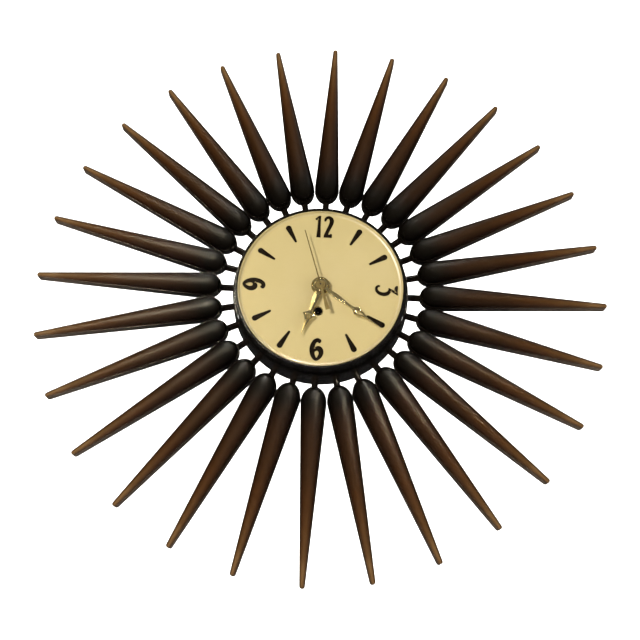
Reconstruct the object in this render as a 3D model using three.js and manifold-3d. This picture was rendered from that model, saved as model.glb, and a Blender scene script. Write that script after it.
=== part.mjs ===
// Sunburst wall clock: a key-wound movement in a round case, ringed by 28 tapered rays.
// Millimetres, +Z up. The wall is the plane Y = 0 and the clock faces -Y.
// The hands turn about the Y axis. Clockwise, seen from the front, is positive about +Y.
import * as THREE from 'three';
import { mergeVertices } from 'three/addons/utils/BufferGeometryUtils.js';
import Module from 'manifold-3d';

const wasm = await Module();
wasm.setup();

// ---------- driving dimensions ----------
const GAP = 0.3;                       // clearance between pieces that touch on the real clock

const RAY_COUNT = 28;
const RAY = {
  head: 106, widest: 123, taperEnd: 302, tip: 305,   // distances from the clock's axis
  headHalf: 13.55, tipHalf: 2.95,                    // half widths of the skirt
  lipY: -33, backY: -22.5,                           // the skirt runs between these
  lip: 0.5, crown: 0.75,                             // crown inset, and its height over half width
};
const STEM = { inner: 95.6, half: 3.5, crestHalf: 0.8, crestY: -29, shoulderY: -25.5, backY: -23.2 };
const TENON = { half: 1.8, inner: 92.6, y: -26.2 };

const BAND = { inner: 92, outerFront: 94, outerBack: 95.8, frontY: -28.7 };
const DRUM = { frontY: -46, rim: 90.5, rimInner: 88.1, back: 91.6, backY: -2.4, wall: 2.6 };
const LEDGE = { inner: 84.6, frontY: -40.2, thickness: 1.8 };
const PANEL = { inner: 57, frontY: -35.3, backY: -33.3 };
const BOSS = { radius: 4.5, centre: 85.4, frontY: -12, screwR: 1.5, holeR: 1.9 };
const DIAL = { faceY: -41.5, thickness: 1, edge: 87.5, edgeY: -45.4, flat: 82.5, centreHole: 5.6 };
const COVER = { radius: 91.5, thickness: 2 };
const SCREW = { headR: 3.8, headFrontY: -0.9, headBackY: -0.15, frontY: -9, count: 3 };
const HANGER = { width: 36, height: 34, centreZ: 70, frontY: -3.6, thickness: 1.2 };
const KEYHOLE = { headR: 5, headZ: 66, slotR: 2.5, slotZ: 75 };
const WINDOW = { half: 7.5, lowZ: 59, highZ: 80 };

// ---------- movement layout: arbor centres in the X, Z plane ----------
const PLATE = { halfX: 40, lowZ: -52, highZ: 52, corner: 6, thickness: 1.5 };
const FRONT_PLATE_Y = -33;
const BACK_PLATE_Y = -9.5;
const PILLAR = { radius: 3, studR: 1.5, insetX: 6, insetZ: 6 };
const BARREL_AT = [-1, -27];
const CENTRE_AT = [0, 0];
const THIRD_AT = [8, 17.125];
const PIVOT_R = 0.8;
const PIVOT_HOLE_R = 1.2;
const ARBOR_R = 1.2;
const PIVOT_FRONT_Y = -33.4;
const PIVOT_BACK_Y = -7.6;

// Teeth are plain V forms, cut back so that every pair runs free.
const TOOTH_HEIGHT = 0.75;             // addendum and dedendum over the module
const TOOTH_RELIEF = 0.2;              // how far each outline is cut back below its pitch form
const GEARS = {
  barrel: { teeth: 48, module: 0.9 },
  intermediatePinion: { teeth: 8, module: 0.9 },
  intermediateWheel: { teeth: 48, module: 0.75 },
  centrePinion: { teeth: 9, module: 0.75 },
  centreWheel: { teeth: 48, module: 0.7 },
  thirdPinion: { teeth: 6, module: 0.7 },
  thirdWheel: { teeth: 45, module: 0.7412 },
  secondsPinion: { teeth: 6, module: 0.7412 },
  fourthPinion: { teeth: 6, module: 0.7412 },
  fourthWheel: { teeth: 60, module: 0.5 },
  escapePinion: { teeth: 6, module: 0.5 },
  cannonPinion: { teeth: 8, module: 0.9 },
  minuteWheel: { teeth: 24, module: 0.9 },
  minutePinion: { teeth: 8, module: 0.72 },
  hourWheel: { teeth: 32, module: 0.72 },
};

// ---------- hands, as angles clockwise from 12 ----------
const HOUR_ANGLE = 197.2;
const MINUTE_ANGLE = 124;
const SECOND_ANGLE = -18.3;
// A hand's side runs from its neck to its point as [half width, radius]; its eye is a diamond hole.
const HOUR_HAND = {
  hubR: 9.8, hole: 4.75, y: -46.1, thickness: 1.2, tip: 57.5,
  side: [[2.7, 8], [3.5, 15], [1.7, 28.5], [6.8, 34.5], [3, 40], [1.5, 45]],
  eye: { start: 33.8, widest: 36.5, end: 40.6, half: 2 },
};
const MINUTE_HAND = {
  hubR: 6.9, hole: 3.35, y: -48.3, thickness: 1.1, tip: 75,
  side: [[1.6, 5], [2.4, 21.5], [1.2, 38], [5, 47.5], [2.2, 54], [0.9, 59.5]],
  eye: { start: 46.2, widest: 49.5, end: 56.5, half: 1.8 },
};
const SECOND_HAND = { hubR: 2.5, hole: 1.3, y: -51.2, thickness: 0.5, tip: 64, tail: 29, tipW: 0.35, tailW: 2.1 };
const NUT = { radius: 5.2, hole: 2.4, y: -49.9, thickness: 1.2 };

// ---------- materials ----------
function material(color, roughness, metalness) {
  return new THREE.MeshStandardMaterial({ color, roughness, metalness, flatShading: true });
}
const RAY_FINISH = material(0x3a2416, 0.45, 0);
const GLOSS_BLACK = material(0x0c0b0b, 0.25, 0);
const DIAL_GOLD = material(0xdcc78c, 0.35, 0.9);
const BRASS = material(0xc9a24a, 0.35, 1);
const STEEL = material(0x8d9094, 0.35, 1);
const FIBREBOARD = material(0x2b2320, 0.8, 0);

// ---------- solids: joining and cutting ----------
function toSolid(geometry) {
  const bare = new THREE.BufferGeometry();
  bare.setAttribute('position', geometry.getAttribute('position').clone());
  bare.setIndex(geometry.index ? geometry.index.clone() : null);
  const merged = mergeVertices(bare, 1e-4);
  const index = merged.index.array;
  const kept = [];
  for (let i = 0; i < index.length; i += 3) {
    const [a, b, c] = [index[i], index[i + 1], index[i + 2]];
    if (a !== b && b !== c && c !== a) kept.push(a, b, c);
  }
  const vertProperties = new Float32Array(merged.getAttribute('position').array);
  return new wasm.Manifold(new wasm.Mesh({ numProp: 3, vertProperties, triVerts: new Uint32Array(kept) }));
}

function toGeometry(solid) {
  const mesh = solid.getMesh();
  const geometry = new THREE.BufferGeometry();
  geometry.setAttribute('position', new THREE.BufferAttribute(new Float32Array(mesh.vertProperties), 3));
  geometry.setIndex([...mesh.triVerts]);
  geometry.computeVertexNormals();
  return geometry;
}

function join(...geometries) {
  return toGeometry(geometries.map(toSolid).reduce((whole, piece) => whole.add(piece)));
}

function cut(geometry, ...cutters) {
  return toGeometry(cutters.map(toSolid).reduce((whole, cutter) => whole.subtract(cutter), toSolid(geometry)));
}

// ---------- basic forms ----------
// A flat outline in X, Z, given thickness along Y behind its front face.
function plate(shape, frontY, thickness, curveSegments = 6) {
  const geometry = new THREE.ExtrudeGeometry(shape, { depth: thickness, bevelEnabled: false, curveSegments });
  geometry.rotateX(Math.PI / 2);
  geometry.translate(0, frontY + thickness, 0);
  return geometry;
}

// A round form about a line along Y. The profile is [radius, y] points, anticlockwise with Y up.
function turned(profile, [x, z] = [0, 0], segments = 12) {
  const points = profile.map(([radius, y]) => new THREE.Vector2(radius, y));
  const geometry = new THREE.LatheGeometry(points, segments);
  geometry.translate(x, 0, z);
  return geometry;
}

function rod(radius, frontY, backY, centre = [0, 0], segments = 8) {
  return turned([[0, frontY], [radius, frontY], [radius, backY], [0, backY]], centre, segments);
}

function pipe(inner, outer, frontY, backY, centre = [0, 0], segments = 12) {
  const profile = [[inner, frontY], [outer, frontY], [outer, backY], [inner, backY], [inner, frontY]];
  return turned(profile, centre, segments);
}

function box(x0, x1, y0, y1, z0, z1) {
  const geometry = new THREE.BoxGeometry(x1 - x0, y1 - y0, z1 - z0);
  geometry.translate((x0 + x1) / 2, (y0 + y1) / 2, (z0 + z1) / 2);
  return geometry;
}

function shapeFrom(points) {
  return new THREE.Shape(points.map(([x, z]) => new THREE.Vector2(x, z)));
}

function circlePath(radius, [x, z] = [0, 0]) {
  return new THREE.Path().absarc(x, z, radius, 0, 2 * Math.PI, true);
}

function polar(radius, degrees, [x, z] = [0, 0]) {
  const angle = THREE.MathUtils.degToRad(degrees);
  return [x + radius * Math.cos(angle), z + radius * Math.sin(angle)];
}

// ---------- assembly ----------
const clock = new THREE.Group();

function addPart(name, geometry, finish, parent = clock) {
  const mesh = new THREE.Mesh(geometry, finish);
  mesh.name = name;
  parent.add(mesh);
  return mesh;
}

// ---------- rays ----------
// Half width against distance from the axis: an elliptical head, a straight taper, a round tip.
function rayProfile(inset) {
  const half = RAY.headHalf - inset;
  const tipHalf = RAY.tipHalf - inset;
  const headEnd = RAY.head + inset;
  const tipEnd = RAY.tip - inset;
  const points = [[0, headEnd]];
  for (const turn of [40, 90]) {
    const angle = THREE.MathUtils.degToRad(turn);
    points.push([half * Math.sin(angle), RAY.widest - (RAY.widest - headEnd) * Math.cos(angle)]);
  }
  points.push([tipHalf, RAY.taperEnd]);
  points.push([tipHalf * 0.4, tipEnd - 0.4]);
  points.push([0, tipEnd]);
  return points;
}

function rayGeometry() {
  const crown = new THREE.LatheGeometry(rayProfile(RAY.lip).map(([half, r]) => new THREE.Vector2(half, r)), 8);
  crown.rotateY(Math.PI / 8);
  crown.scale(1 / Math.cos(Math.PI / 8), 1, 1);
  crown.rotateX(Math.PI / 2);
  crown.scale(1, RAY.crown, 1);
  crown.translate(0, RAY.lipY, 0);

  const right = rayProfile(0);
  const left = right.slice(1, -1).reverse().map(([half, r]) => [-half, r]);
  const skirt = plate(shapeFrom([...right, ...left]), RAY.lipY, RAY.backY - RAY.lipY);

  const section = shapeFrom([
    [-STEM.half, STEM.backY], [STEM.half, STEM.backY], [STEM.half, STEM.shoulderY],
    [STEM.crestHalf, STEM.crestY], [-STEM.crestHalf, STEM.crestY], [-STEM.half, STEM.shoulderY],
  ].reverse());
  const stemEnd = RAY.head + 4;
  const stem = new THREE.ExtrudeGeometry(section, { depth: stemEnd - STEM.inner, bevelEnabled: false });
  stem.translate(0, 0, STEM.inner);

  const tenonY = [TENON.y - TENON.half, TENON.y + TENON.half];
  const tenon = box(-TENON.half, TENON.half, ...tenonY, TENON.inner, STEM.inner + 2);
  return join(crown, skirt, stem, tenon);
}

const rays = new THREE.Group();
clock.add(rays);
const oneRay = rayGeometry();
for (let i = 0; i < RAY_COUNT; i += 1) {
  const name = `ray_${String(i + 1).padStart(2, '0')}`;
  const ray = addPart(name, oneRay, RAY_FINISH, rays);
  ray.rotation.y = i * 2 * Math.PI / RAY_COUNT;
}

// ---------- ray band: the moulded ring that holds the rays ----------
function rayBand() {
  const profile = [
    [BAND.inner, BAND.frontY], [BAND.outerFront - 0.6, BAND.frontY], [BAND.outerFront, BAND.frontY + 0.6],
    [BAND.outerBack, 0], [BAND.inner, 0], [BAND.inner, BAND.frontY],
  ];
  const sockets = [];
  const half = TENON.half + GAP;
  for (let i = 0; i < RAY_COUNT; i += 1) {
    const socket = box(-half, half, TENON.y - half, TENON.y + half, BAND.inner - 2, BAND.outerBack + 2);
    socket.rotateY(i * 2 * Math.PI / RAY_COUNT);
    sockets.push(socket);
  }
  return cut(turned(profile, CENTRE_AT, 2 * RAY_COUNT), ...sockets);
}
addPart('ray_band', rayBand(), GLOSS_BLACK);

// ---------- case drum ----------
const SCREW_ANGLES = [30, 150, 270];

function pillarCentres() {
  const x = PLATE.halfX - PILLAR.insetX;
  const [low, high] = [PLATE.lowZ + PILLAR.insetZ, PLATE.highZ - PILLAR.insetZ];
  return [[-x, low], [x, low], [x, high], [-x, high]];
}

function caseDrum() {
  const inside = DRUM.back - DRUM.wall;
  const ledgeBackY = LEDGE.frontY + LEDGE.thickness;
  const profile = [
    [PANEL.inner, PANEL.frontY], [inside - 1.4, PANEL.frontY], [inside - 1.4, ledgeBackY],
    [LEDGE.inner, ledgeBackY], [LEDGE.inner, LEDGE.frontY], [DRUM.rimInner, LEDGE.frontY],
    [DRUM.rimInner, DRUM.frontY + 0.9], [DRUM.rimInner + 0.9, DRUM.frontY],
    [DRUM.rim - 0.5, DRUM.frontY + 0.3], [DRUM.rim, DRUM.frontY + 1.6],
    [DRUM.back, BAND.frontY - 1], [DRUM.back, DRUM.backY], [inside, DRUM.backY],
    [inside, PANEL.backY], [PANEL.inner, PANEL.backY], [PANEL.inner, PANEL.frontY],
  ];
  const bosses = [];
  const bores = [];
  for (const degrees of SCREW_ANGLES) {
    const centre = polar(BOSS.centre, degrees);
    bosses.push(rod(BOSS.radius, BOSS.frontY, DRUM.backY, centre, 8));
    bores.push(rod(BOSS.holeR, BOSS.frontY - 2, DRUM.backY + 2, centre));
  }
  for (const centre of pillarCentres()) {
    bores.push(rod(PILLAR.studR + 2 * GAP, PANEL.frontY - 1, PANEL.backY + 1, centre));
  }
  return cut(join(turned(profile, CENTRE_AT, 40), ...bosses), ...bores);
}
addPart('case_drum', caseDrum(), GLOSS_BLACK);

// ---------- dial: a shallow pan with a rolled edge ----------
function dialPan() {
  const backY = DIAL.faceY + DIAL.thickness;
  const { flat, edge, edgeY, centreHole } = DIAL;
  const profile = [
    [centreHole, DIAL.faceY], [flat, DIAL.faceY], [flat + 2.6, DIAL.faceY - 0.9],
    [edge - 1, edgeY + 1.2], [edge - 0.5, edgeY], [edge, edgeY + 0.6],
    [flat + 3.4, backY - 0.6], [centreHole, backY], [centreHole, DIAL.faceY],
  ];
  const windingHole = rod(4.6, DIAL.faceY - 1, backY + 1, BARREL_AT, 16);
  return cut(turned(profile, CENTRE_AT, 40), windingHole);
}
addPart('dial', dialPan(), DIAL_GOLD);

// ---------- back cover, hanger plate and screws ----------
function backCover() {
  const disc = rod(COVER.radius, -COVER.thickness, 0, CENTRE_AT, 40);
  const window = box(-WINDOW.half, WINDOW.half, -COVER.thickness - 1, 1, WINDOW.lowZ, WINDOW.highZ);
  const cutters = [window];
  for (const degrees of SCREW_ANGLES) {
    const centre = polar(BOSS.centre, degrees);
    cutters.push(rod(BOSS.holeR + 0.2, -COVER.thickness - 1, 1, centre));
    cutters.push(rod(SCREW.headR + 0.5, SCREW.headFrontY - GAP, 1, centre, 10));
  }
  return cut(disc, ...cutters);
}
addPart('back_cover', backCover(), FIBREBOARD);

function hangerPlate() {
  const { width, height, centreZ } = HANGER;
  const shape = shapeFrom([
    [-width / 2, centreZ - height / 2], [width / 2, centreZ - height / 2],
    [width / 2, centreZ + height / 2 - 6], [width / 2 - 6, centreZ + height / 2],
    [-width / 2 + 6, centreZ + height / 2], [-width / 2, centreZ + height / 2 - 6],
  ]);
  const { headR, headZ, slotR, slotZ } = KEYHOLE;
  const neck = Math.asin(slotR / headR);
  const keyhole = new THREE.Path();
  keyhole.absarc(0, headZ, headR, Math.PI / 2 + neck, Math.PI / 2 - neck + 2 * Math.PI, false);
  keyhole.absarc(0, slotZ, slotR, 0, Math.PI, false);
  keyhole.closePath();
  shape.holes.push(keyhole);
  return plate(shape, HANGER.frontY, HANGER.thickness);
}
addPart('hanger_plate', hangerPlate(), STEEL);

SCREW_ANGLES.forEach((degrees, i) => {
  const profile = [
    [0, SCREW.frontY], [BOSS.screwR, SCREW.frontY], [BOSS.screwR, SCREW.headFrontY],
    [SCREW.headR, SCREW.headFrontY], [SCREW.headR - 0.4, SCREW.headBackY], [0, SCREW.headBackY],
  ];
  addPart(`back_screw_${i + 1}`, turned(profile, polar(BOSS.centre, degrees), 10), STEEL);
});

// ---------- gears ----------
function pitchRadius(gear) {
  return gear.teeth * gear.module / 2;
}

// A V-toothed outline with one tooth tip at the given angle, in radians from +X towards +Z.
function gearShape(gear, [x, z], tipAngle) {
  const reach = TOOTH_HEIGHT * gear.module;
  const middle = pitchRadius(gear) - TOOTH_RELIEF;
  const points = [];
  for (let i = 0; i < 2 * gear.teeth; i += 1) {
    const angle = tipAngle + i * Math.PI / gear.teeth;
    const radius = middle + (i % 2 === 0 ? reach : -reach);
    points.push([x + radius * Math.cos(angle), z + radius * Math.sin(angle)]);
  }
  return shapeFrom(points);
}

function toothed(gear, centre, tipAngle, frontY, backY, hole = 0) {
  const shape = gearShape(gear, centre, tipAngle);
  if (hole > 0) shape.holes.push(circlePath(hole, centre));
  return plate(shape, frontY, backY - frontY, 4);
}

function directionTo([x0, z0], [x1, z1]) {
  return Math.atan2(z1 - z0, x1 - x0);
}

// The tip angle that puts gear b in mesh with gear a, whose tip stands at tipA.
function meshAngle(gearA, atA, tipA, gearB, atB) {
  const direction = directionTo(atA, atB);
  const valley = direction + Math.PI - (tipA - direction) * gearA.teeth / gearB.teeth;
  return valley + Math.PI / gearB.teeth;
}

function meshDistance(gearA, gearB) {
  return pitchRadius(gearA) + pitchRadius(gearB);
}

// The point on the +X side that is the given distances from two other points.
function crossing([x0, z0], fromFirst, [x1, z1], fromSecond) {
  const apart = Math.hypot(x1 - x0, z1 - z0);
  const along = (fromFirst ** 2 - fromSecond ** 2 + apart ** 2) / (2 * apart);
  const aside = Math.sqrt(fromFirst ** 2 - along ** 2);
  const [ux, uz] = [(x1 - x0) / apart, (z1 - z0) / apart];
  return [x0 + along * ux - aside * uz, z0 + along * uz + aside * ux];
}

const INTERMEDIATE_AT = crossing(
  CENTRE_AT, meshDistance(GEARS.intermediateWheel, GEARS.centrePinion),
  BARREL_AT, meshDistance(GEARS.barrel, GEARS.intermediatePinion),
);
const FOURTH_AT = polar(meshDistance(GEARS.thirdWheel, GEARS.fourthPinion), 122, THIRD_AT);
const ESCAPE_AT = polar(meshDistance(GEARS.fourthWheel, GEARS.escapePinion), 190, FOURTH_AT);
const PALLET_AT = polar(10.2, 235, ESCAPE_AT);
const BALANCE_AT = polar(10.5, 250, PALLET_AT);
const MINUTE_WHEEL_AT = polar(meshDistance(GEARS.cannonPinion, GEARS.minuteWheel), 160);

function arbor(centre, frontY = PIVOT_FRONT_Y, backY = PIVOT_BACK_Y) {
  const shoulderFront = FRONT_PLATE_Y + PLATE.thickness + GAP;
  const shoulderBack = BACK_PLATE_Y - GAP;
  return turned([
    [0, frontY], [PIVOT_R, frontY], [PIVOT_R, shoulderFront], [ARBOR_R, shoulderFront],
    [ARBOR_R, shoulderBack], [PIVOT_R, shoulderBack], [PIVOT_R, backY], [0, backY],
  ], centre, 8);
}

// ---------- movement plates ----------
const PIVOTS = [INTERMEDIATE_AT, THIRD_AT, FOURTH_AT, ESCAPE_AT, PALLET_AT, BALANCE_AT];
const CLICK_AT = polar(14.6, 35, BARREL_AT);

function plateBlank(frontY) {
  const { halfX, lowZ, highZ, corner } = PLATE;
  const shape = new THREE.Shape();
  shape.absarc(halfX - corner, highZ - corner, corner, 0, Math.PI / 2);
  shape.absarc(-halfX + corner, highZ - corner, corner, Math.PI / 2, Math.PI);
  shape.absarc(-halfX + corner, lowZ + corner, corner, Math.PI, 1.5 * Math.PI);
  shape.absarc(halfX - corner, lowZ + corner, corner, 1.5 * Math.PI, 2 * Math.PI);
  return plate(shape, frontY, PLATE.thickness, 3);
}

function pivotHoles(frontY, bigHoles) {
  const through = [frontY - 1, frontY + PLATE.thickness + 1];
  const small = PIVOTS.map((centre) => rod(PIVOT_HOLE_R, ...through, centre, 6));
  return [...small, ...bigHoles.map(([radius, centre]) => rod(radius, ...through, centre))];
}

function frontPlate() {
  const pillarBackY = BACK_PLATE_Y - GAP;
  const pillars = pillarCentres().map((centre) => turned([
    [0, PANEL.frontY + GAP], [PILLAR.studR, PANEL.frontY + GAP], [PILLAR.studR, FRONT_PLATE_Y + 0.5],
    [PILLAR.radius, FRONT_PLATE_Y + 0.5], [PILLAR.radius, pillarBackY], [PILLAR.studR, pillarBackY],
    [PILLAR.studR, PIVOT_BACK_Y], [0, PIVOT_BACK_Y],
  ], centre, 8));
  const holes = pivotHoles(FRONT_PLATE_Y, [
    [2.5, CENTRE_AT], [3.6, BARREL_AT], [PIVOT_HOLE_R, MINUTE_WHEEL_AT], [PIVOT_HOLE_R, CLICK_AT],
  ]);
  return cut(join(plateBlank(FRONT_PLATE_Y), ...pillars), ...holes);
}
addPart('front_plate', frontPlate(), BRASS);

function backPlate() {
  const studHoles = pillarCentres().map((centre) => [PILLAR.studR + 2 * GAP, centre]);
  const holes = pivotHoles(BACK_PLATE_Y, [[PIVOT_HOLE_R, CENTRE_AT], [3.6, BARREL_AT], ...studHoles]);
  return cut(plateBlank(BACK_PLATE_Y), ...holes);
}
addPart('back_plate', backPlate(), BRASS);

// ---------- mainspring barrel, spring and winding ----------
const BARREL = { outer: 19.9, inner: 18.7, frontY: -24.5, backY: -11, floor: 1.2 };
const WINDING = { arborR: 3, coreR: 4.6, squareR: 3, squareFrontY: -38.6, squareBackY: -36 };

// A flat strip wound from one radius to another, a whole number of turns, with a given thickness.
function spiralShape([x, z], from, to, turns, stepsPerTurn, thickness) {
  const steps = turns * stepsPerTurn;
  const outside = [];
  const insideBack = [];
  for (let i = 0; i <= steps; i += 1) {
    const angle = 2 * Math.PI * i / stepsPerTurn;
    const radius = from + (to - from) * i / steps;
    outside.push([x + (radius + thickness / 2) * Math.cos(angle), z + (radius + thickness / 2) * Math.sin(angle)]);
    insideBack.unshift([x + (radius - thickness / 2) * Math.cos(angle), z + (radius - thickness / 2) * Math.sin(angle)]);
  }
  return shapeFrom([...outside, ...insideBack]);
}

const barrelTip = directionTo(BARREL_AT, INTERMEDIATE_AT);
const intermediatePinionTip = meshAngle(
  GEARS.barrel, BARREL_AT, barrelTip, GEARS.intermediatePinion, INTERMEDIATE_AT,
);
const barrelCup = turned([
  [WINDING.arborR + 0.6, BARREL.frontY], [BARREL.outer, BARREL.frontY], [BARREL.outer, BARREL.backY],
  [BARREL.inner, BARREL.backY], [BARREL.inner, BARREL.frontY + BARREL.floor],
  [WINDING.arborR + 0.6, BARREL.frontY + BARREL.floor], [WINDING.arborR + 0.6, BARREL.frontY],
], BARREL_AT, 20);
const barrelTeeth = toothed(GEARS.barrel, BARREL_AT, barrelTip, BARREL.frontY, BARREL.frontY + 1.6, 19.2);
addPart('mainspring_barrel', join(barrelCup, barrelTeeth), BRASS);

const springShape = spiralShape(BARREL_AT, 6, 17.7, 4, 12, 0.9);
addPart('mainspring', plate(springShape, BARREL.frontY + 1.6 + GAP, 10.6), STEEL);

const windingRod = turned([
  [0, WINDING.squareBackY], [WINDING.arborR, WINDING.squareBackY],
  [WINDING.arborR, BARREL.frontY + BARREL.floor + GAP], [WINDING.coreR, BARREL.frontY + BARREL.floor + GAP],
  [WINDING.coreR, BARREL.backY], [WINDING.arborR, BARREL.backY],
  [WINDING.arborR, PIVOT_BACK_Y], [0, PIVOT_BACK_Y],
], BARREL_AT, 8);
const windingSquare = rod(WINDING.squareR, WINDING.squareFrontY, WINDING.squareBackY + 0.5, BARREL_AT, 4);
addPart('winding_arbor', join(windingRod, windingSquare), STEEL);

const RATCHET = { teeth: 14, tip: 9, root: 7.4, hole: 3.4, frontY: -35.2, backY: -33.6 };

function ratchetWheel() {
  const points = [];
  for (let i = 0; i < RATCHET.teeth; i += 1) {
    const start = 360 * i / RATCHET.teeth;
    points.push(polar(RATCHET.root, start, BARREL_AT));
    points.push(polar(RATCHET.tip, start + 1, BARREL_AT));
  }
  const shape = shapeFrom(points);
  shape.holes.push(circlePath(RATCHET.hole, BARREL_AT));
  return plate(shape, RATCHET.frontY, RATCHET.backY - RATCHET.frontY, 6);
}
addPart('ratchet_wheel', ratchetWheel(), STEEL);

// The click's nose stands just clear of the ratchet's tips, and its stud turns in the front plate.
function clickPawl() {
  const nose = polar(RATCHET.tip + 0.5, 62, BARREL_AT);
  const noseTop = polar(RATCHET.tip + 2.4, 68, BARREL_AT);
  const outline = shapeFrom([
    polar(2.4, -60, CLICK_AT), polar(2.4, 0, CLICK_AT), polar(2.4, 60, CLICK_AT),
    noseTop, nose, polar(2.4, 215, CLICK_AT),
  ]);
  const stud = rod(PIVOT_R, RATCHET.frontY - 0.8, PIVOT_FRONT_Y + 1.6, CLICK_AT, 6);
  return join(plate(outline, RATCHET.frontY, RATCHET.backY - RATCHET.frontY), stud);
}
addPart('click', clickPawl(), STEEL);

// A thin leaf that presses the click towards the ratchet.
function clickSpring() {
  const start = polar(5.2, 60, CLICK_AT);
  const leaf = shapeFrom([
    [start[0] + 9, start[1] - 6], [start[0] + 9.8, start[1] - 5.4],
    [start[0] - 6, start[1] + 3], [start[0] - 6.4, start[1] + 2.4],
  ]);
  const foot = rod(1.6, RATCHET.frontY, FRONT_PLATE_Y - GAP, [start[0] + 9.4, start[1] - 5.7], 6);
  return join(plate(leaf, RATCHET.frontY, 1), foot);
}
addPart('click_spring', clickSpring(), STEEL);

// ---------- going train ----------
const LAYER = {
  intermediateWheel: [-27, -26], centreWheel: [-30.4, -29.2], thirdWheel: [-20.1, -19.1],
  fourthWheel: [-15.4, -14.6], escapeWheel: [-18.6, -18],
};
const CENTRE_ARBOR = { outer: 2, inner: 1.4, frontY: -49.9, backY: -22 };

const intermediateWheelTip = directionTo(INTERMEDIATE_AT, CENTRE_AT);
addPart('intermediate_wheel', join(
  arbor(INTERMEDIATE_AT),
  toothed(GEARS.intermediateWheel, INTERMEDIATE_AT, intermediateWheelTip, ...LAYER.intermediateWheel),
  toothed(GEARS.intermediatePinion, INTERMEDIATE_AT, intermediatePinionTip, -25.1, -22.3),
), BRASS);

const centrePinionTip = meshAngle(
  GEARS.intermediateWheel, INTERMEDIATE_AT, intermediateWheelTip, GEARS.centrePinion, CENTRE_AT,
);
const centreWheelTip = directionTo(CENTRE_AT, THIRD_AT);
addPart('centre_wheel', cut(
  join(
    pipe(CENTRE_ARBOR.inner, CENTRE_ARBOR.outer, CENTRE_ARBOR.frontY, CENTRE_ARBOR.backY),
    toothed(GEARS.centreWheel, CENTRE_AT, centreWheelTip, ...LAYER.centreWheel, CENTRE_ARBOR.inner + 0.3),
    toothed(GEARS.centrePinion, CENTRE_AT, centrePinionTip, -28.4, -25.2, CENTRE_ARBOR.inner + 0.3),
  ),
  rod(CENTRE_ARBOR.inner, CENTRE_ARBOR.frontY - 1, CENTRE_ARBOR.backY + 1, CENTRE_AT, 12),
), BRASS);

const thirdPinionTip = meshAngle(GEARS.centreWheel, CENTRE_AT, centreWheelTip, GEARS.thirdPinion, THIRD_AT);
const thirdWheelTip = directionTo(THIRD_AT, CENTRE_AT);
addPart('third_wheel', join(
  arbor(THIRD_AT),
  toothed(GEARS.thirdPinion, THIRD_AT, thirdPinionTip, -31, -28.6),
  toothed(GEARS.thirdWheel, THIRD_AT, thirdWheelTip, ...LAYER.thirdWheel),
), BRASS);

const secondsPinionTip = meshAngle(GEARS.thirdWheel, THIRD_AT, thirdWheelTip, GEARS.secondsPinion, CENTRE_AT);
const SECONDS_ARBOR_R = 0.9;
addPart('seconds_arbor', join(
  rod(SECONDS_ARBOR_R, -51.7, PIVOT_BACK_Y),
  toothed(GEARS.secondsPinion, CENTRE_AT, secondsPinionTip, -21.4, -17.8),
), STEEL);

const fourthPinionTip = meshAngle(GEARS.thirdWheel, THIRD_AT, thirdWheelTip, GEARS.fourthPinion, FOURTH_AT);
const fourthWheelTip = directionTo(FOURTH_AT, ESCAPE_AT);
addPart('fourth_wheel', join(
  arbor(FOURTH_AT),
  toothed(GEARS.fourthPinion, FOURTH_AT, fourthPinionTip, -21.4, -17.8),
  toothed(GEARS.fourthWheel, FOURTH_AT, fourthWheelTip, ...LAYER.fourthWheel),
), BRASS);

// ---------- escapement ----------
const ESCAPE = { teeth: 15, tip: 7, root: 5.4 };
const escapePinionTip = meshAngle(GEARS.fourthWheel, FOURTH_AT, fourthWheelTip, GEARS.escapePinion, ESCAPE_AT);

function escapeShape() {
  const points = [];
  for (let i = 0; i < ESCAPE.teeth; i += 1) {
    const start = 360 * i / ESCAPE.teeth;
    points.push(polar(ESCAPE.root, start, ESCAPE_AT));
    points.push(polar(ESCAPE.tip, start + 9, ESCAPE_AT));
    points.push(polar(ESCAPE.root, start + 12, ESCAPE_AT));
  }
  return shapeFrom(points);
}

function slenderArbor(centre) {
  return rod(PIVOT_R - 0.1, PIVOT_FRONT_Y, PIVOT_BACK_Y, centre, 6);
}
addPart('escape_wheel', join(
  slenderArbor(ESCAPE_AT),
  toothed(GEARS.escapePinion, ESCAPE_AT, escapePinionTip, -16.4, -13.6),
  plate(escapeShape(), LAYER.escapeWheel[0], LAYER.escapeWheel[1] - LAYER.escapeWheel[0]),
), STEEL);

// The lever: two arms with pallet pins by the escape wheel, and a fork by the balance staff.
const LEVER_Y = [-20.4, -19.6];

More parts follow.
